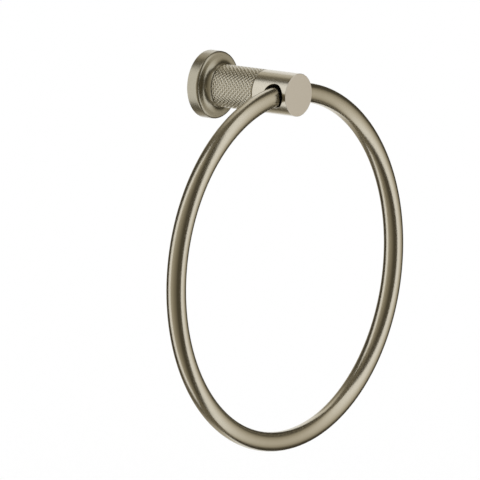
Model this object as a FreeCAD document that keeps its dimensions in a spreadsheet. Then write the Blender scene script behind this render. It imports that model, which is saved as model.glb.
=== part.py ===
import FreeCAD, Part
import math
import os
import Sketcher

# Wall-mounted towel ring.
# The origin is on the wall, on the axis of the post. +Z is up, the wall is the plane y = 0
# and the post stands out along -Y. All lengths are in millimetres.
# "Forward" means away from the wall: a distance f forward is the plane y = -f.

SIZES = {
    # wall flange: a turned cup with a rounded outer edge and a cove that sweeps up into its neck
    "flange_diameter": "38.8",
    "flange_thickness": "7.7",
    "flange_edge_radius": "1.5",
    "cove_radius": "3.8",
    "cove_land": "0.06",
    "cup_wall": "3.4",
    "cup_depth": "5.4",
    # post: the neck, the knurled sleeve and the head share one diameter
    "post_diameter": "24.54",
    "joint_bevel": "0.3",
    "sleeve_length": "29.54",
    "sleeve_wall": "3.27",
    "spigot_length": "3",
    "spigot_clearance": "0.05",
    # diamond knurl of the sleeve
    "knurl_pitch": "2.65",
    "knurl_width": "2.41",
    "knurl_depth": "0.3",
    "knurl_run_out": "0.15",
    # head with the cross-hole that the ring hangs in
    "head_length": "24.3",
    "head_front_round": "0.2",
    "cross_hole_diameter": "13.4",
    "cross_hole_setback": "9.1",
    "cross_hole_round": "0.25",
    # ring, bent from tube and closed over a dowel
    "ring_diameter": "200",
    "ring_tube_diameter": "11.18",
    "ring_tube_wall": "1.2",
    "dowel_angle": "16",
    "dowel_clearance": "0.05",
    # threaded stud that holds head, sleeve and flange together
    "stud_diameter": "6",
    "stud_grip": "8",
    "stud_tail": "0.8",
    "stud_bevel": "0.6",
    "stud_passage_clearance": "0.2",
    "thread_clearance": "0.03",
    # spring washer and hexagon nut behind the flange
    "washer_diameter": "12",
    "washer_thickness": "1.5",
    "washer_slit": "1.2",
    "washer_clearance": "0.1",
    "nut_flats": "10",
    "nut_thickness": "3.2",
    "nut_bevel": "0.5",
    "nut_recess_depth": "3.2",
    "nut_recess_clearance": "0.6",
    # wall plate that the flange slips over
    "plate_clearance": "0.2",
    "plate_set_in": "0.4",
    "plate_floor": "1.2",
    "plate_edge_bevel": "0.4",
    "plate_screw_edge": "4.8",
    "plate_screw_hole": "4.5",
    "plate_countersink": "7.8",
    "plate_groove_depth": "1",
    # grub screw under the flange
    "grub_diameter": "4",
    "grub_length": "4",
    "grub_point": "0.8",
    "grub_socket_flats": "2",
    "grub_socket_depth": "1.8",
    "grub_end_bevel": "0.25",
    "grub_seat_gap": "0.04",
}

# Lengths that several pieces share, worked out from the sizes above.
POST_RADIUS = "(sizes.post_diameter / 2)"
CUP_RADIUS = "(sizes.flange_diameter / 2 - sizes.cup_wall)"
NECK_END = "(sizes.flange_thickness + sizes.cove_radius + sizes.cove_land)"
SLEEVE_END = "(%s + sizes.sleeve_length)" % NECK_END
BORE_RADIUS = "(%s - sizes.sleeve_wall)" % POST_RADIUS
SPIGOT_DIAMETER = "(2 * %s - 2 * sizes.spigot_clearance)" % BORE_RADIUS
RECESS_FLOOR = "(sizes.cup_depth + sizes.nut_recess_depth)"
NUT_CORNERS = "(sizes.nut_flats / cos(30))"
RECESS_DIAMETER = "(max(sizes.washer_diameter; %s) + 2 * sizes.nut_recess_clearance)" % NUT_CORNERS
NUT_BACK = "(%s - sizes.washer_thickness - sizes.nut_thickness)" % RECESS_FLOOR
STUD_BACK = "(%s - sizes.stud_tail)" % NUT_BACK
STUD_FRONT = "(%s - sizes.spigot_length + sizes.stud_grip)" % SLEEVE_END
PLATE_THICKNESS = "(sizes.cup_depth - sizes.plate_set_in)"
PLATE_RADIUS = "(%s - sizes.plate_clearance)" % CUP_RADIUS
SCREW_OFFSET = "(%s - sizes.plate_screw_edge)" % PLATE_RADIUS
GRUB_FORWARD = "(sizes.cup_depth / 2)"
GRUB_TIP = "(%s - sizes.plate_groove_depth + sizes.grub_point / 2 + sizes.grub_seat_gap)" % PLATE_RADIUS
HOLE_FORWARD = "(%s + sizes.head_length - sizes.cross_hole_setback)" % SLEEVE_END
RING_RADIUS = "(sizes.ring_diameter / 2)"

document = FreeCAD.newDocument("towel_ring")
sheet = document.addObject("Spreadsheet::Sheet", "sizes")
for row, (alias, text) in enumerate(SIZES.items(), 1):
    sheet.set("A%d" % row, alias)
    sheet.set("B%d" % row, text)
    sheet.setAlias("B%d" % row, alias)
document.recompute()


# Helpers for sketches and features

def number(expression):
    """The present value of an expression of the sheet's sizes."""
    return float(sheet.evalExpression(expression))


def new_body(label, forward="0", up="0"):
    """A body whose own origin lies so far forward of the wall and up from the post's axis."""
    body = document.addObject("PartDesign::Body", label)
    body.Label = label
    body.setExpression("Placement.Base.y", "-1 * %s" % forward)
    body.setExpression("Placement.Base.z", up)
    return body


def new_sketch(body, name, role, offset="0"):
    """An empty sketch on one of the body's own origin planes, moved along the plane's normal."""
    plane = [item for item in body.Origin.OriginFeatures if item.Role == role][0]
    sketch = body.newObject("Sketcher::SketchObject", name)
    sketch.AttachmentSupport = [(plane, "")]
    sketch.MapMode = "FlatFace"
    sketch.setExpression(".AttachmentOffset.Base.z", offset)
    return sketch


def bind(sketch, kind, references, expression):
    """Adds a dimension to a sketch and ties it to the sheet."""
    index = sketch.addConstraint(Sketcher.Constraint(kind, *references, number(expression)))
    sketch.setExpression("Constraints[%d]" % index, expression)


def pin_point(sketch, geometry, point, x, y):
    """Fixes a point of the sketch at x, y, with a zero meaning that it lies on that axis."""
    if x == "0":
        sketch.addConstraint(Sketcher.Constraint("PointOnObject", geometry, point, -2))
    else:
        bind(sketch, "DistanceX", (-1, 1, geometry, point), x)
    if y == "0":
        sketch.addConstraint(Sketcher.Constraint("PointOnObject", geometry, point, -1))
    else:
        bind(sketch, "DistanceY", (-1, 1, geometry, point), y)


def add_circle(sketch, diameter, x="0", y="0"):
    """A circle with its centre at x, y."""
    centre = FreeCAD.Vector(number(x), number(y), 0)
    circle = Part.Circle(centre, FreeCAD.Vector(0, 0, 1), number(diameter) / 2)
    geometry = sketch.addGeometry(circle, False)
    bind(sketch, "Diameter", (geometry,), diameter)
    pin_point(sketch, geometry, 3, x, y)


def add_polygon(sketch, corners):
    """A closed outline of straight lines through corners given as pairs of expressions."""
    points = [FreeCAD.Vector(number(x), number(y), 0) for x, y in corners]
    lines = []
    for index, start in enumerate(points):
        end = points[(index + 1) % len(points)]
        lines.append(sketch.addGeometry(Part.LineSegment(start, end), False))
    for index, line in enumerate(lines):
        following = lines[(index + 1) % len(lines)]
        sketch.addConstraint(Sketcher.Constraint("Coincident", line, 2, following, 1))
        pin_point(sketch, line, 1, *corners[index])


def hexagon(flats):
    """The corners of a hexagon about the sketch's origin, with two flats parallel to its x axis."""
    corners = []
    for step in range(6):
        across = "(%s / cos(30) / 2)" % flats
        sideways = "(%s * cos(%d))" % (across, 60 * step)
        upwards = "0" if step % 3 == 0 else "(%s * sin(%d))" % (across, 60 * step)
        corners.append((sideways, upwards))
    return corners


def extrude(body, kind, name, sketch, length, reverse=False):
    """A Pad or a Pocket of the sketch, so long."""
    feature = body.newObject("PartDesign::" + kind, name)
    feature.Profile = sketch
    feature.Reversed = reverse
    feature.setExpression("Length", length)
    sketch.Visibility = False
    return feature


def disc(body, name, diameter, start, length):
    """A round pad on the post's axis, from a forward distance, so long."""
    sketch = new_sketch(body, name + "_outline", "XZ_Plane", start)
    add_circle(sketch, diameter)
    return extrude(body, "Pad", name, sketch, length)


def counterbore(body, name, diameter, start, length):
    """A round pocket on the post's axis, cut forward from a distance, so deep."""
    sketch = new_sketch(body, name + "_outline", "XZ_Plane", start)
    add_circle(sketch, diameter)
    return extrude(body, "Pocket", name, sketch, length, reverse=True)


def rim_edges(feature, diameter, forward):
    """The names of the feature's circular edges of one diameter in one forward plane."""
    names = []
    for index, edge in enumerate(feature.Shape.Edges, 1):
        curve = edge.Curve
        if not isinstance(curve, Part.Circle):
            continue
        same_size = abs(2 * curve.Radius - diameter) < 0.001
        if same_size and abs(curve.Center.y + forward) < 0.001:
            names.append("Edge%d" % index)
    return names


def dress(body, kind, name, base, edges, size):
    """A Fillet or a Chamfer on named edges of the feature before it."""
    feature = body.newObject("PartDesign::" + kind, name)
    feature.Base = (base, edges)
    feature.setExpression("Radius" if kind == "Fillet" else "Size", size)
    document.recompute()
    return feature


# Sub-parts

def make_flange():
    """The turned flange: cup against the wall, rounded edge, cove, neck and the sleeve's spigot."""
    body = new_body("flange")
    disc(body, "flange_disc", "sizes.flange_diameter", "0", "sizes.flange_thickness")
    neck = disc(body, "flange_neck", "sizes.post_diameter", "0", NECK_END)
    document.recompute()
    edge = rim_edges(neck, number("sizes.flange_diameter"), number("sizes.flange_thickness"))
    rounded = dress(body, "Fillet", "flange_edge", neck, edge, "sizes.flange_edge_radius")
    corner = rim_edges(rounded, number("sizes.post_diameter"), number("sizes.flange_thickness"))
    cove = dress(body, "Fillet", "flange_cove", rounded, corner, "sizes.cove_radius")
    brim = rim_edges(cove, number("sizes.post_diameter"), number(NECK_END))
    dress(body, "Chamfer", "neck_bevel", cove, brim, "min(sizes.joint_bevel; sizes.cove_land / 2)")
    disc(body, "flange_spigot", SPIGOT_DIAMETER, NECK_END, "sizes.spigot_length")
    counterbore(body, "flange_cup", "2 * %s" % CUP_RADIUS, "0", "sizes.cup_depth")
    counterbore(body, "nut_recess", RECESS_DIAMETER, "sizes.cup_depth", "sizes.nut_recess_depth")
    passage = "sizes.stud_diameter + 2 * sizes.stud_passage_clearance"
    length = "%s - %s + sizes.spigot_length" % (NECK_END, RECESS_FLOOR)
    counterbore(body, "stud_passage", passage, RECESS_FLOOR, length)
    sketch = new_sketch(body, "grub_hole_outline", "XY_Plane")
    add_circle(sketch, "sizes.grub_diameter + 2 * sizes.thread_clearance", "0", "-1 * " + GRUB_FORWARD)
    extrude(body, "Pocket", "grub_hole", sketch, "sizes.flange_diameter / 2")
    return body


def make_wall_plate():
    """The round plate screwed to the wall, with a groove round its edge for the grub screw."""
    body = new_body("wall_plate")
    plate = disc(body, "plate_disc", "2 * " + PLATE_RADIUS, "0", PLATE_THICKNESS)
    document.recompute()
    front = rim_edges(plate, 2 * number(PLATE_RADIUS), number(PLATE_THICKNESS))
    dress(body, "Chamfer", "plate_bevel", plate, front, "sizes.plate_edge_bevel")
    pocket_depth = "%s - sizes.plate_floor" % PLATE_THICKNESS
    counterbore(body, "plate_pocket", RECESS_DIAMETER, "sizes.plate_floor", pocket_depth)
    groove_sketch = new_sketch(body, "groove_outline", "XY_Plane")
    depth = "sizes.plate_groove_depth"
    outside = "(%s + %s)" % (PLATE_RADIUS, depth)
    add_polygon(groove_sketch, [
        ("(%s - %s)" % (PLATE_RADIUS, depth), "-1 * " + GRUB_FORWARD),
        (outside, "-1 * (%s + 2 * %s)" % (GRUB_FORWARD, depth)),
        (outside, "-1 * (%s - 2 * %s)" % (GRUB_FORWARD, depth)),
    ])
    groove = body.newObject("PartDesign::Groove", "plate_groove")
    groove.Profile = groove_sketch
    groove.ReferenceAxis = (groove_sketch, ["V_Axis"])
    groove.Angle = 360
    document.recompute()
    sketch = new_sketch(body, "screw_hole_centres", "XZ_Plane", PLATE_THICKNESS)
    add_circle(sketch, "sizes.plate_screw_hole", SCREW_OFFSET)
    add_circle(sketch, "sizes.plate_screw_hole", "-1 * " + SCREW_OFFSET)
    document.recompute()
    holes = body.newObject("PartDesign::Hole", "screw_holes")
    holes.Profile = sketch
    document.recompute()
    holes.DepthType = "ThroughAll"
    holes.HoleCutType = "Countersink"
    holes.setExpression("Diameter", "sizes.plate_screw_hole")
    holes.setExpression("HoleCutDiameter", "sizes.plate_countersink")
    holes.HoleCutCountersinkAngle = 90
    return body


def make_grub_screw():
    """The hexagon-socket grub screw, from its point outwards along -Z."""
    body = new_body("grub_screw", GRUB_FORWARD, "-1 * " + GRUB_TIP)
    sketch = new_sketch(body, "grub_outline", "XY_Plane")
    add_circle(sketch, "sizes.grub_diameter")
    shank = extrude(body, "Pad", "grub_shank", sketch, "sizes.grub_length", reverse=True)
    document.recompute()
    tip = [name for name in rim_edges(shank, number("sizes.grub_diameter"), 0)
           if abs(shank.getSubObject(name).Curve.Center.z) < 0.001]
    cone = "(sizes.grub_diameter - sizes.grub_point) / 2"
    pointed = dress(body, "Chamfer", "grub_cone", shank, tip, cone)
    end = [name for name in rim_edges(pointed, number("sizes.grub_diameter"), 0)
           if abs(pointed.getSubObject(name).Curve.Center.z + number("sizes.grub_length")) < 0.001]
    dress(body, "Chamfer", "grub_end", pointed, end, "sizes.grub_end_bevel")
    socket = new_sketch(body, "socket_outline", "XY_Plane", "-1 * sizes.grub_length")
    add_polygon(socket, hexagon("sizes.grub_socket_flats"))
    extrude(body, "Pocket", "grub_socket", socket, "sizes.grub_socket_depth", reverse=True)
    return body


def make_stud():
    """The threaded stud on the post's axis."""
    body = new_body("stud", STUD_BACK)
    length = "(%s - %s)" % (STUD_FRONT, STUD_BACK)
    shank = disc(body, "stud_shank", "sizes.stud_diameter", "0", length)
    document.recompute()
    diameter = number("sizes.stud_diameter")
    ends = rim_edges(shank, diameter, 0) + rim_edges(shank, diameter, number(length))
    dress(body, "Chamfer", "stud_ends", shank, ends, "sizes.stud_bevel")
    return body


def make_spring_washer():
    """The split washer between the nut and the flange."""
    body = new_body("spring_washer", "(%s - sizes.washer_thickness)" % RECESS_FLOOR)
    disc(body, "washer_disc", "sizes.washer_diameter", "0", "sizes.washer_thickness")
    bore = "sizes.stud_diameter + 2 * sizes.washer_clearance"
    counterbore(body, "washer_bore", bore, "0", "sizes.washer_thickness")
    sketch = new_sketch(body, "slit_outline", "XZ_Plane")
    half = "sizes.washer_slit / 2"
    add_polygon(sketch, [
        ("-1 * " + half, "0"),
        (half, "0"),
        (half, "sizes.washer_diameter"),
        ("-1 * " + half, "sizes.washer_diameter"),
    ])
    extrude(body, "Pocket", "washer_slot", sketch, "sizes.washer_thickness", reverse=True)
    return body


def make_nut():
    """The thin hexagon nut, with the corners of both faces turned off."""
    body = new_body("nut", NUT_BACK)
    sketch = new_sketch(body, "nut_outline", "XZ_Plane")
    add_polygon(sketch, hexagon("sizes.nut_flats"))
    extrude(body, "Pad", "nut_hexagon", sketch, "sizes.nut_thickness")
    bore = "sizes.stud_diameter + 2 * sizes.thread_clearance"
    counterbore(body, "nut_bore", bore, "0", "sizes.nut_thickness")
    corner = new_sketch(body, "nut_corner_outline", "XY_Plane")
    reach = "(%s / 2)" % NUT_CORNERS
    near = "(%s - sizes.nut_bevel)" % reach
    far = "(%s + sizes.nut_bevel)" % reach
    front = "-1 * sizes.nut_thickness"
    add_polygon(corner, [(near, "0"), (far, "0"), (far, "-1 * sizes.nut_bevel")])
    add_polygon(corner, [(near, front), (far, front), (far, "(%s + sizes.nut_bevel)" % front)])
    turned = body.newObject("PartDesign::Groove", "nut_corners")
    turned.Profile = corner
    turned.ReferenceAxis = (corner, ["V_Axis"])
    turned.Angle = 360
    return body


def make_head():
    """The smooth head: rear spigot, rounded front edge, tapped blind hole and the ring's cross-hole."""
    body = new_body("head", SLEEVE_END)
    barrel = disc(body, "head_barrel", "sizes.post_diameter", "0", "sizes.head_length")
    document.recompute()
    diameter = number("sizes.post_diameter")
    front = rim_edges(barrel, diameter, number("sizes.head_length"))
    rounded = dress(body, "Fillet", "front_round", barrel, front, "sizes.head_front_round")
    back = rim_edges(rounded, diameter, 0)
    dress(body, "Chamfer", "back_bevel", rounded, back, "sizes.joint_bevel")
    hole = new_sketch(body, "cross_hole_outline", "YZ_Plane")
    place = "-1 * (sizes.head_length - sizes.cross_hole_setback)"
    add_circle(hole, "sizes.cross_hole_diameter", place)
    through = extrude(body, "Pocket", "cross_hole", hole, "2 * sizes.post_diameter")
    through.Midplane = True
    document.recompute()
    mouths = ["Edge%d" % index for index, edge in enumerate(through.Shape.Edges, 1)
              if not isinstance(edge.Curve, (Part.Line, Part.Circle))]
    dress(body, "Fillet", "hole_mouths", through, mouths, "sizes.cross_hole_round")
    spigot = new_sketch(body, "head_spigot_outline", "XZ_Plane")
    add_circle(spigot, SPIGOT_DIAMETER)
    extrude(body, "Pad", "head_spigot", spigot, "sizes.spigot_length", reverse=True)
    bore = "sizes.stud_diameter + 2 * sizes.thread_clearance"
    depth = "sizes.stud_grip + sizes.stud_bevel"
    counterbore(body, "stud_hole", bore, "-1 * sizes.spigot_length", depth)
    return body


def make_ring():
    """The ring: one tube section swept right round."""
    body = new_body("ring", HOLE_FORWARD, "-1 * " + RING_RADIUS)
    sketch = new_sketch(body, "tube_section", "YZ_Plane")
    add_circle(sketch, "sizes.ring_tube_diameter", "0", RING_RADIUS)
    add_circle(sketch, "sizes.ring_tube_diameter - 2 * sizes.ring_tube_wall", "0", RING_RADIUS)
    sweep = body.newObject("PartDesign::Revolution", "ring_tube")
    sweep.Profile = sketch
    sweep.ReferenceAxis = (sketch, ["H_Axis"])
    sweep.Angle = 360
    return body


def make_ring_dowel():
    """The curved dowel inside the tube, where its two ends meet in the head."""
    body = new_body("ring_dowel", HOLE_FORWARD, "-1 * " + RING_RADIUS)
    sketch = new_sketch(body, "dowel_section", "YZ_Plane")
    bore = "sizes.ring_tube_diameter - 2 * sizes.ring_tube_wall - 2 * sizes.dowel_clearance"
    add_circle(sketch, bore, "0", RING_RADIUS)
    sweep = body.newObject("PartDesign::Revolution", "dowel")
    sweep.Profile = sketch
    sweep.ReferenceAxis = (sketch, ["H_Axis"])
    sweep.Midplane = True
    sweep.setExpression("Angle", "sizes.dowel_angle")
    return body


# The diamond knurl

def knurl_points(rows, count, length, run_out, crest, valley):
    """Corners of the knurl on a lattice of half steps along (k) and round (m) the sleeve.

    Where k + m is odd a diamond has its crest, and where it is even two grooves cross.
    """
    points = []
    for k in range(2 * rows + 1):
        along = run_out + (length - 2 * run_out) * k / (2 * rows)
        for m in range(2 * count):
            radius = crest if (k + m) % 2 else valley
            angle = math.pi * m / count
            points.append(FreeCAD.Vector(radius * math.cos(angle), -along, radius * math.sin(angle)))
    return points


def knurl_facets(rows, count):
    """Two facets for each lattice square, folded from groove crossing to groove crossing."""
    around = 2 * count
    facets = []
    for k in range(2 * rows):
        for m in range(around):
            near = k * around + m
            right = k * around + (m + 1) % around
            far = near + around
            far_right = right + around
            if (k + m) % 2:
                facets.append((near, far, right))
                facets.append((right, far, far_right))
            else:
                facets.append((near, far_right, right))
                facets.append((near, far, far_right))
    return facets


def knurl_end(points, facets, first, along, radius, count, flip):
    """Closes one end: a short cone down to a plain circle of corners, then a flat fan."""
    around = 2 * count
    ring = len(points)
    for m in range(around):
        angle = math.pi * m / count
        points.append(FreeCAD.Vector(radius * math.cos(angle), -along, radius * math.sin(angle)))
    centre = len(points)
    points.append(FreeCAD.Vector(0, -along, 0))
    for m in range(around):
        after = (m + 1) % around
        cone = [(first + m, ring + after, ring + m), (first + m, first + after, ring + after)]
        cone.append((ring + m, ring + after, centre))
        facets.extend([corners[::-1] if flip else corners for corners in cone])


def make_knurled_sleeve():
    """The knurled tube: a faceted blank with a bore cut through it."""
    length = number("sizes.sleeve_length")
    crest = number(POST_RADIUS)
    valley = crest - number("sizes.knurl_depth")
    run_out = number("sizes.knurl_run_out")
    rows = max(1, round((length - 2 * run_out) / number("sizes.knurl_pitch")))
    count = max(6, round(2 * math.pi * crest / number("sizes.knurl_width")))
    points = knurl_points(rows, count, length, run_out, crest, valley)
    facets = knurl_facets(rows, count)
    last = 2 * rows * 2 * count
    inner = valley - number("sizes.joint_bevel")
    knurl_end(points, facets, 0, 0, inner, count, False)
    knurl_end(points, facets, last, length, inner, count, True)
    shell = Part.Shape()
    shell.makeShapeFromMesh((points, facets), 0.001, True)
    solid = Part.makeSolid(shell)
    if solid.Volume < 0:
        solid.reverse()
    blank = document.addObject("Part::Feature", "knurl_blank")
    blank.Shape = solid
    bore = document.addObject("Part::Cylinder", "sleeve_bore_tool")
    bore.setExpression("Radius", BORE_RADIUS)
    bore.setExpression("Height", "3 * sizes.sleeve_length")
    bore.Placement.Rotation = FreeCAD.Rotation(FreeCAD.Vector(1, 0, 0), 90)
    bore.setExpression("Placement.Base.y", "sizes.sleeve_length")
    sleeve = document.addObject("Part::Cut", "knurled_sleeve")
    sleeve.Label = "knurled_sleeve"
    sleeve.Base = blank
    sleeve.Tool = bore
    sleeve.setExpression("Placement.Base.y", "-1 * " + NECK_END)
    return sleeve


def main():
    """Builds, checks and writes every sub-part."""
    makers = [
        make_wall_plate, make_flange, make_grub_screw, make_stud, make_spring_washer, make_nut,
        make_knurled_sleeve, make_head, make_ring, make_ring_dowel,
    ]
    parts = [make() for make in makers]
    document.recompute()
    for item in document.Objects:
        if "Invalid" in item.State or "Error" in item.State:
            raise RuntimeError("%s did not build: %s" % (item.Name, item.State))
    os.makedirs("parts", exist_ok=True)
    for part in parts:
        shape = part.Shape
        if shape.isNull() or not shape.isValid() or not shape.Solids:
            raise RuntimeError("%s has no valid solid" % part.Label)
        print("%-16s solids %d  volume %.1f" % (part.Label, len(shape.Solids), shape.Volume))
    for part in parts:
        part.Shape.exportStep("parts/%s.step" % part.Label)


main()
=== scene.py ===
import math

import bmesh
import bpy
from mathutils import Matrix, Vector


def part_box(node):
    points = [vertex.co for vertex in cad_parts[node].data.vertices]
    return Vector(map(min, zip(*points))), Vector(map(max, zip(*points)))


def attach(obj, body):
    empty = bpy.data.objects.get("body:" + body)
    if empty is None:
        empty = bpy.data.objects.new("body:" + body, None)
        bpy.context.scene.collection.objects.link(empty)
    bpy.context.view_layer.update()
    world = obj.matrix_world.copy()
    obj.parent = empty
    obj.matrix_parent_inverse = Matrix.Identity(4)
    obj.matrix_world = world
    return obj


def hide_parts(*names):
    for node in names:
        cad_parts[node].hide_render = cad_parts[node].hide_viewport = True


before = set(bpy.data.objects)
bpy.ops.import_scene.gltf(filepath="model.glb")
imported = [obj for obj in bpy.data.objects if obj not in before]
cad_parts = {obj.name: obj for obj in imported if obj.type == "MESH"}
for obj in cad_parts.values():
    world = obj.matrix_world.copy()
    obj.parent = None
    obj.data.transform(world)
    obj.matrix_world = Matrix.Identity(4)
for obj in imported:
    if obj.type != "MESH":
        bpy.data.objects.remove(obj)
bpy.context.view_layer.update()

# Lengths here are in millimetres unless a name says otherwise. "Forward" is the distance out from
# the wall, which is the plane y = 0, and the post's axis is the line x = 0, z = 0.
MM = 0.001


# The photograph's view

# The object is seen from its left and a little from above, through a lens so long that the view has
# almost no perspective.
CAMERA_AZIMUTH = math.radians(-51.677)
CAMERA_ELEVATION = math.radians(9.985)
CAMERA_DISTANCE = 8000.0
VIEW_CENTRE = (-41.8, -56.06, -78.62)
PICTURE_PIXELS = 480
PIXELS_PER_MM = 1.76689
SENSOR_WIDTH = 36.0


def add_camera():
    """The camera stands straight back from the centre of the picture."""
    data = bpy.data.cameras.new("camera")
    data.sensor_width = SENSOR_WIDTH
    data.lens = CAMERA_DISTANCE * SENSOR_WIDTH * PIXELS_PER_MM / PICTURE_PIXELS
    data.clip_start = 1.0
    data.clip_end = 100.0
    camera = bpy.data.objects.new("camera", data)
    bpy.context.collection.objects.link(camera)
    level = math.cos(CAMERA_ELEVATION)
    sideways = math.sin(CAMERA_AZIMUTH) * level
    outwards = -math.cos(CAMERA_AZIMUTH) * level
    back = Vector((sideways, outwards, math.sin(CAMERA_ELEVATION)))
    camera.location = (Vector(VIEW_CENTRE) + back * CAMERA_DISTANCE) * MM
    camera.rotation_euler = (-back).to_track_quat("-Z", "Y").to_euler()
    bpy.context.scene.camera = camera


# Helpers for colours, materials and meshes

# A colour mix has several sockets of one name, so its sockets go by number.
MIX_FACTOR = 0
MIX_FIRST = 6
MIX_SECOND = 7
MIX_RESULT = 2


def linear(code):
    """An sRGB hex colour as linear red, green, blue and a full alpha."""
    channels = [int(code[start:start + 2], 16) / 255 for start in (1, 3, 5)]
    return tuple(c / 12.92 if c <= 0.04045 else ((c + 0.055) / 1.055) ** 2.4 for c in channels) + (1.0,)


def add_node(material, kind, settings=None, links=None):
    """A shader node with its settings, by attribute or by input, and the outputs that feed its inputs."""
    tree = material.node_tree
    node = tree.nodes.new(kind)
    for key, value in (settings or {}).items():
        if hasattr(node, str(key)):
            setattr(node, key, value)
        else:
            node.inputs[key].default_value = value
    for key, source in (links or {}).items():
        tree.links.new(source, node.inputs[key])
    return node


def new_material(name):
    """A material with an empty node tree."""
    material = bpy.data.materials.new(name)
    material.use_nodes = True
    material.node_tree.nodes.clear()
    return material


def mesh_object(name, vertices, faces, smooth):
    """An object from vertices in millimetres."""
    mesh = bpy.data.meshes.new(name)
    mesh.from_pydata([(x * MM, y * MM, z * MM) for x, y, z in vertices], [], faces)
    mesh.validate()
    builder = bmesh.new()
    builder.from_mesh(mesh)
    bmesh.ops.recalc_face_normals(builder, faces=builder.faces)
    builder.to_mesh(mesh)
    builder.free()
    for polygon in mesh.polygons:
        polygon.use_smooth = smooth
    piece = bpy.data.objects.new(name, mesh)
    bpy.context.collection.objects.link(piece)
    return piece


def tube_faces(ring_count, point_count):
    """The faces of a tube that closes on itself, from rings of points that follow one another."""
    faces = []
    for index in range(ring_count):
        here = index * point_count
        after = ((index + 1) % ring_count) * point_count
        for point in range(point_count):
            beside = (point + 1) % point_count
            faces.append((here + point, here + beside, after + beside, after + point))
    return faces


# Studio

# The studio is a white room with a pale floor, and grey and white cards that only the metal sees. They
# give the ring its long bright and dark stripes. A wall card stands upright, is curved round the object
# and covers a range of directions, counted in degrees to the right of the camera. It fades from one
# level of light at its left edge to another at its right edge. Level 1 is the white of the room.
ROOM_WHITE = "#FFFFFF"
FLOOR_COLOUR = "#FFFFFF"
FLOOR_DROP = 300.0
FLOOR_RADIUS = 5000.0
FLOOR_CORNERS = 72
CARD_DISTANCE = 1200.0
CARD_TOP = 3000.0
CARD_BOTTOM = -3800.0
CARD_STEP = 6.0
LEVEL_CARD_RADIUS = 1260.0
LEVEL_CARD_CORNERS = 24
FULL = (CARD_BOTTOM, CARD_TOP)
HIGH = (1000.0, CARD_TOP)
MIDDLE = (-1000.0, 1000.0)
LOW = (CARD_BOTTOM, -1000.0)
DARK_TINT = (1.15, 1.0, 0.68, 1.0)
NO_TINT = (1.0, 1.0, 1.0, 1.0)

# Left edge, right edge, level on the left, level on the right, lower and upper edge
WALL_CARDS = [
    (-175, -141, 0.80, 0.40, HIGH),
    (-170, -141, 0.38, 0.15, MIDDLE),
    (-175, -141, 0.65, 0.30, LOW),
    (-141, -97, 0.22, 0.06, HIGH),
    (-141, -97, 0.05, 0.06, MIDDLE),
    (-141, -97, 0.13, 0.14, LOW),
    (-97, -66, 1.08, 1.08, FULL),
    (-66, 12, 0.50, 0.07, FULL),
    (12, 51, 0.08, 0.08, FULL),
    (51, 80, 1.09, 1.02, FULL),
    (80, 125, 0.96, 0.14, FULL),
    (125, 170, 0.06, 0.06, FULL),
    (170, 185, 0.72, 0.80, HIGH),
]
TOP_CARD_LEVEL = 0.14
BOTTOM_CARD_LEVEL = 0.16


def card_material(name, left_level, right_level):
    """A card that fades across its width. The less light it gives, the browner it is."""
    material = new_material(name)
    across = add_node(material, "ShaderNodeUVMap")
    parts = add_node(material, "ShaderNodeSeparateXYZ", None, {"Vector": across.outputs["UV"]})
    level = add_node(material, "ShaderNodeMapRange", {"To Min": left_level, "To Max": right_level},
                     {"Value": parts.outputs["X"]})
    tint = add_node(material, "ShaderNodeMix",
                    {"data_type": "RGBA", MIX_FIRST: DARK_TINT, MIX_SECOND: NO_TINT},
                    {MIX_FACTOR: level.outputs["Result"]})
    glow = add_node(material, "ShaderNodeEmission", None,
                    {"Color": tint.outputs[MIX_RESULT], "Strength": level.outputs["Result"]})
    add_node(material, "ShaderNodeOutputMaterial", None, {"Surface": glow.outputs["Emission"]})
    return material


def studio_point(degrees, height, distance):
    """A point round the object, so many degrees to the right of the camera."""
    angle = CAMERA_AZIMUTH + math.radians(degrees)
    return (math.sin(angle) * distance, -math.cos(angle) * distance, height)


def hide_from_camera(card):
    """Leaves a card visible only in reflections."""
    card.visible_camera = False
    card.visible_diffuse = False
    card.visible_shadow = False
    card.visible_transmission = False


def add_wall_card(name, left, right, left_level, right_level, edges):
    """An upright card, curved round the object."""
    lower, upper = edges
    steps = math.ceil((right - left) / CARD_STEP)
    vertices = []
    for step in range(steps + 1):
        degrees = left + (right - left) * step / steps
        vertices.append(studio_point(degrees, lower, CARD_DISTANCE))
        vertices.append(studio_point(degrees, upper, CARD_DISTANCE))
    faces = [(2 * step, 2 * step + 2, 2 * step + 3, 2 * step + 1) for step in range(steps)]
    card = mesh_object(name, vertices, faces, False)
    layer = card.data.uv_layers.new(name="across")
    for loop in card.data.loops:
        layer.data[loop.index].uv = (loop.vertex_index // 2 / steps, loop.vertex_index % 2)
    card.data.materials.append(card_material(name, left_level, right_level))
    hide_from_camera(card)


def add_level_card(name, height, level):
    """A round card over or under the object."""
    corner = 360 // LEVEL_CARD_CORNERS
    vertices = [studio_point(degrees, height, LEVEL_CARD_RADIUS) for degrees in range(0, 360, corner)]
    card = mesh_object(name, vertices, [tuple(range(len(vertices)))], False)
    card.data.uv_layers.new(name="across")
    card.data.materials.append(card_material(name, level, level))
    hide_from_camera(card)


def floor_paint():
    """Matt white paint, which keeps a soft shadow. From underneath the floor is clear."""
    paint = new_material("matt_floor_paint")
    coat = add_node(paint, "ShaderNodeBsdfDiffuse", {"Color": linear(FLOOR_COLOUR)})
    clear = add_node(paint, "ShaderNodeBsdfTransparent")
    side = add_node(paint, "ShaderNodeNewGeometry")
    either = add_node(paint, "ShaderNodeMixShader", None,
                      {0: side.outputs["Backfacing"], 1: coat.outputs["BSDF"], 2: clear.outputs["BSDF"]})
    add_node(paint, "ShaderNodeOutputMaterial", None, {"Surface": either.outputs["Shader"]})
    return paint


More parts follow.
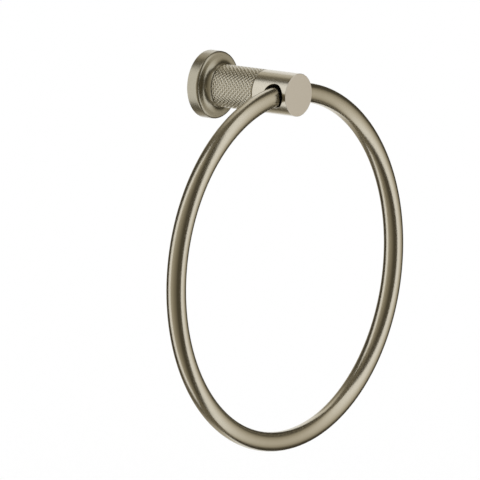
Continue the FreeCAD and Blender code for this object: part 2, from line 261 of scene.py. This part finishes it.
def add_floor():
    """A wide round floor under the object, left out of the metal's reflections."""
    corners = []
    for degrees in range(0, 360, 360 // FLOOR_CORNERS):
        angle = math.radians(degrees)
        corners.append((math.cos(angle) * FLOOR_RADIUS, math.sin(angle) * FLOOR_RADIUS, -FLOOR_DROP))
    floor = mesh_object("floor", corners, [tuple(range(len(corners)))], False)
    floor.data.materials.append(floor_paint())
    floor.visible_glossy = False


def add_studio():
    """White room, floor and cards."""
    world = bpy.data.worlds.new("studio")
    world.use_nodes = True
    backdrop = world.node_tree.nodes["Background"]
    backdrop.inputs["Color"].default_value = linear(ROOM_WHITE)
    backdrop.inputs["Strength"].default_value = 1.0
    bpy.context.scene.world = world
    add_floor()
    for number, card in enumerate(WALL_CARDS, 1):
        add_wall_card("card_%d" % number, *card)
    add_level_card("card_top", CARD_TOP, TOP_CARD_LEVEL)
    add_level_card("card_bottom", CARD_BOTTOM, BOTTOM_CARD_LEVEL)


# Finishes

# Each pair of colours is the darkest and the lightest tone of one metal.
TUBE_NICKEL = ("#CBC4B2", "#CFC8B7")
HEAD_NICKEL = ("#D0CABA", "#D4CEBF")
# FLANGE_NICKEL_PAINTED_SHADE is darker than the other nickel, as painted shade on the whole flange.
FLANGE_NICKEL_PAINTED_SHADE = ("#B5AF9D", "#B9B3A2")
KNURL_NICKEL = ("#BFB9A8", "#C3BDAC")
# END_FACE_PAINTED_HIGHLIGHT is a painted highlight: it makes the head's front end lighter than the nickel
# round it.
END_FACE_PAINTED_HIGHLIGHT = "#E5DFD6"
# HOLE_PAINTED_SHADE is painted shade inside the cross-hole.
HOLE_PAINTED_SHADE = "#5E574B"
STEEL_COLOUR = "#A9A9A6"
ZINC_COLOUR = "#B9BCBE"
BRASS_COLOUR = "#C9A35A"

TUBE_ROUGHNESS = 0.23
HEAD_ROUGHNESS = 0.23
FLANGE_ROUGHNESS = 0.29
KNURL_ROUGHNESS = 0.22
STEEL_ROUGHNESS = 0.38
ZINC_ROUGHNESS = 0.42
BRASS_ROUGHNESS = 0.35
SATIN_SPREAD = 0.02
BATH_SPREAD = 0.06

# A noise pattern's values lie mostly between these two.
NOISE_LOW = 0.3
NOISE_HIGH = 0.7

CLOUD_SIZE = 9.0
BATH_CLOUD_SIZE = 2.0
SATIN_DETAIL = 2.0
BATH_DETAIL = 3.0

# Length and width of the marks in each finish: scratches on turned pieces, an even grain on the knurl
SCRATCH = (3.0, 0.25)
KNURL_GRAIN = (0.75, 0.75)

# END_FACE_START and END_FACE_FULL mark where the painted highlight on the head's front end begins and where
# it is full.
END_FACE_START = 65.1
END_FACE_FULL = 65.3
# The painted shade in the cross-hole covers the head out to a little past HOLE_RADIUS from the hole's axis
# and fades out just beyond it.
HOLE_FORWARD = 56.3
HOLE_RADIUS = 6.7
HOLE_FADE_INSIDE = 0.05
HOLE_FADE_OUTSIDE = 0.15


def uneven_gloss(material, place, scale, detail, roughness, spread):
    """A roughness that drifts a little above and below its middle value, in marks or patches."""
    pattern = add_node(material, "ShaderNodeTexNoise", {"Scale": scale, "Detail": detail}, {"Vector": place})
    limits = {"From Min": NOISE_LOW, "From Max": NOISE_HIGH,
              "To Min": roughness - spread, "To Max": roughness + spread}
    gloss = add_node(material, "ShaderNodeMapRange", limits, {"Value": pattern.outputs["Fac"]})
    return gloss.outputs["Result"]


def satin_nickel(name, tones, roughness, mark):
    """Satin nickel plate over brushed brass: a warm grey metal whose fine scratches blur what it mirrors.

    The scratches run round the turned pieces and along the ring. They are really about 0.03 mm wide, and
    are drawn 0.25 mm wide, the least that shows. The knurl has an even grain instead, also drawn coarser
    than it is. The plate's tone drifts a little from place to place.
    """
    material = new_material(name)
    place = add_node(material, "ShaderNodeTexCoord").outputs["Object"]
    around = 1 / (mark[0] * MM)
    along = 1 / (mark[1] * MM)
    stretch = add_node(material, "ShaderNodeMapping", {"Scale": (around, along, around)}, {"Vector": place})
    gloss = uneven_gloss(material, stretch.outputs["Vector"], 1.0, SATIN_DETAIL, roughness, SATIN_SPREAD)
    cloud = add_node(material, "ShaderNodeTexNoise",
                     {"Scale": 1 / (CLOUD_SIZE * MM), "Detail": SATIN_DETAIL}, {"Vector": place})
    tone = add_node(material, "ShaderNodeMix",
                    {"data_type": "RGBA", MIX_FIRST: linear(tones[0]), MIX_SECOND: linear(tones[1])},
                    {MIX_FACTOR: cloud.outputs["Fac"]})
    metal = add_node(material, "ShaderNodeBsdfPrincipled", {"Metallic": 1.0},
                     {"Base Color": tone.outputs[MIX_RESULT], "Roughness": gloss})
    add_node(material, "ShaderNodeOutputMaterial", None, {"Surface": metal.outputs["BSDF"]})
    return material


def lay_tone_over(material, factor, code):
    """Lays another tone over a metal where the factor is 1."""
    tree = material.node_tree
    metal = next(node for node in tree.nodes if node.type == "BSDF_PRINCIPLED")
    under = metal.inputs["Base Color"].links[0].from_socket
    tone = add_node(material, "ShaderNodeMix", {"data_type": "RGBA", MIX_SECOND: linear(code)},
                    {MIX_FACTOR: factor, MIX_FIRST: under})
    tree.links.new(tone.outputs[MIX_RESULT], metal.inputs["Base Color"])


def paint_head_highlight_and_shade(material):
    """Paints a highlight on the head's front end, making it lighter than its turned side, and paints shade
    into its drilled hole.
    """
    place = add_node(material, "ShaderNodeTexCoord").outputs["Object"]
    parts = add_node(material, "ShaderNodeSeparateXYZ", None, {"Vector": place})
    # Painted highlight: the front end is given a lighter colour.
    face = add_node(material, "ShaderNodeMapRange",
                    {"From Min": -END_FACE_START * MM, "From Max": -END_FACE_FULL * MM},
                    {"Value": parts.outputs["Y"]})
    lay_tone_over(material, face.outputs["Result"], END_FACE_PAINTED_HIGHLIGHT)

    # Painted shade: the inside of the cross-hole is given a dark colour.
    # The hole's axis runs along X, so X is dropped and what is left is counted from that axis.
    to_axis = {"operation": "MULTIPLY_ADD", 1: (0.0, 1.0, 1.0), 2: (0.0, HOLE_FORWARD * MM, 0.0)}
    from_axis = add_node(material, "ShaderNodeVectorMath", to_axis, {0: place})
    reach = add_node(material, "ShaderNodeVectorMath", {"operation": "LENGTH"},
                     {"Vector": from_axis.outputs["Vector"]})
    bore = add_node(material, "ShaderNodeMapRange",
                    {"From Min": (HOLE_RADIUS + HOLE_FADE_OUTSIDE) * MM,
                     "From Max": (HOLE_RADIUS + HOLE_FADE_INSIDE) * MM},
                    {"Value": reach.outputs["Value"]})
    lay_tone_over(material, bore.outputs["Result"], HOLE_PAINTED_SHADE)


def plain_metal(name, code, roughness):
    """The metal of a hidden piece: even in colour, with patches of duller gloss from its plating bath."""
    material = new_material(name)
    place = add_node(material, "ShaderNodeTexCoord").outputs["Object"]
    gloss = uneven_gloss(material, place, 1 / (BATH_CLOUD_SIZE * MM), BATH_DETAIL, roughness, BATH_SPREAD)
    metal = add_node(material, "ShaderNodeBsdfPrincipled", {"Metallic": 1.0, "Base Color": linear(code)},
                     {"Roughness": gloss})
    add_node(material, "ShaderNodeOutputMaterial", None, {"Surface": metal.outputs["BSDF"]})
    return material


def dress_node(name, material):
    """Gives a CAD node its finish."""
    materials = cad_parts[name].data.materials
    materials.clear()
    materials.append(material)


# Ring

RING_RADIUS = 100.0
TUBE_RADIUS = 5.59
RING_STEPS = 360
TUBE_STEPS = 48


def ring_vertices(middle_y, middle_z):
    """The ring's points, circle by circle round the tube, about the middle of the ring."""
    vertices = []
    for ring_step in range(RING_STEPS):
        around = 2 * math.pi * ring_step / RING_STEPS
        for tube_step in range(TUBE_STEPS):
            turn = 2 * math.pi * tube_step / TUBE_STEPS
            reach = RING_RADIUS + TUBE_RADIUS * math.cos(turn)
            x = reach * math.cos(around)
            y = middle_y + TUBE_RADIUS * math.sin(turn)
            z = middle_z + reach * math.sin(around)
            vertices.append((x, y, z))
    return vertices


def add_ring(finish):
    """The ring as one smooth tube, hanging from the cross-hole."""
    low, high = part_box("ring")
    middle_y = (low[1] + high[1]) / 2 / MM
    middle_z = (low[2] + high[2]) / 2 / MM
    vertices = ring_vertices(middle_y, middle_z)
    ring = mesh_object("ring_tube", vertices, tube_faces(RING_STEPS, TUBE_STEPS), True)
    ring.data.materials.append(finish)
    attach(ring, "ring")
    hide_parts("ring")


# Knurled sleeve

# The sleeve is a tube with a rolled knurl, whose rounded ridges cross and leave soft diamond pits. The
# pitch is the distance from pit to pit along the sleeve, and the count is the number of pits round it.
# The pattern counts from a pit that would lie the lead before the sleeve's wall end, and the turn round
# it. Half steps are half the distance from pit to pit.
BORE_RADIUS = 9.0
CREST_RADIUS = 12.27
KNURL_DEPTH = 0.26
KNURL_PITCH = 2.674
KNURL_COUNT = 30
KNURL_LEAD = 1.54
KNURL_TURN = 0.07
PIT_ROUNDING = 0.7
STEPS_PER_HALF = 7
END_BEVEL = 0.35
BEVEL_ROOT_RADIUS = 11.6
SLEEVE_POINTS = 2 * KNURL_COUNT * STEPS_PER_HALF


def knurl_height(along, around):
    """The knurl's height, from 0 in a pit to 1 on a ridge, at so many half steps along and round."""
    first_row = (1 + math.cos(math.pi * (along + around))) / 2
    second_row = (1 + math.cos(math.pi * (along - around))) / 2
    return 1 - (first_row * second_row) ** PIT_ROUNDING


def knurled_radius(along, step, length):
    """The sleeve's radius at a distance along it, cut back by the bevels at its two ends."""
    lift = knurl_height((along + KNURL_LEAD) * 2 / KNURL_PITCH, step / STEPS_PER_HALF - KNURL_TURN)
    slope = (CREST_RADIUS - BEVEL_ROOT_RADIUS) / END_BEVEL
    bevel = BEVEL_ROOT_RADIUS + slope * min(along, length - along)
    return min(bevel, CREST_RADIUS - KNURL_DEPTH * (1 - lift))


def sleeve_point(radius, step, forward):
    """A point of the sleeve, so many steps round it and so far out from the wall."""
    angle = 2 * math.pi * step / SLEEVE_POINTS
    return (radius * math.cos(angle), -forward, radius * math.sin(angle))


def add_knurled_sleeve(finish):
    """The sleeve as rings of points along its outside and back through its bore."""
    low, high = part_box("knurled_sleeve")
    start = -high[1] / MM
    length = (high[1] - low[1]) / MM
    steps = math.ceil(2 * length / KNURL_PITCH * STEPS_PER_HALF)
    vertices = []
    for station in range(steps + 1):
        along = length * station / steps
        for step in range(SLEEVE_POINTS):
            vertices.append(sleeve_point(knurled_radius(along, step, length), step, start + along))
    for along in (length, 0.0):
        for step in range(SLEEVE_POINTS):
            vertices.append(sleeve_point(BORE_RADIUS, step, start + along))
    sleeve = mesh_object("knurled_tube", vertices, tube_faces(steps + 3, SLEEVE_POINTS), True)
    sleeve.data.materials.append(finish)
    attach(sleeve, "holder")
    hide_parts("knurled_sleeve")


def dress_pieces():
    """Gives every piece its metal and adds the ring and the sleeve."""
    head = satin_nickel("satin_nickel_head_painted_light", HEAD_NICKEL, HEAD_ROUGHNESS, SCRATCH)
    # The head gets a painted highlight on its front end and painted shade in its cross-hole.
    paint_head_highlight_and_shade(head)
    # The flange's darker tones are painted shade.
    flange = satin_nickel("satin_nickel_flange_painted_shade", FLANGE_NICKEL_PAINTED_SHADE, FLANGE_ROUGHNESS, SCRATCH)
    tube = satin_nickel("satin_nickel_tube", TUBE_NICKEL, TUBE_ROUGHNESS, SCRATCH)
    knurled = satin_nickel("satin_nickel_knurled", KNURL_NICKEL, KNURL_ROUGHNESS, KNURL_GRAIN)
    steel = plain_metal("stainless_steel", STEEL_COLOUR, STEEL_ROUGHNESS)
    zinc = plain_metal("zinc_plated_steel", ZINC_COLOUR, ZINC_ROUGHNESS)
    brass = plain_metal("turned_brass", BRASS_COLOUR, BRASS_ROUGHNESS)
    dress_node("flange", flange)
    dress_node("head", head)
    dress_node("ring", tube)
    dress_node("knurled_sleeve", knurled)
    dress_node("wall_plate", zinc)
    for name in ("grub_screw", "stud", "spring_washer", "nut"):
        dress_node(name, steel)
    dress_node("ring_dowel", brass)
    add_ring(tube)
    add_knurled_sleeve(knurled)


def main():
    """Sets the view and the light, then dresses every piece."""
    bpy.context.scene.view_settings.view_transform = "Standard"
    add_camera()
    add_studio()
    dress_pieces()


main()
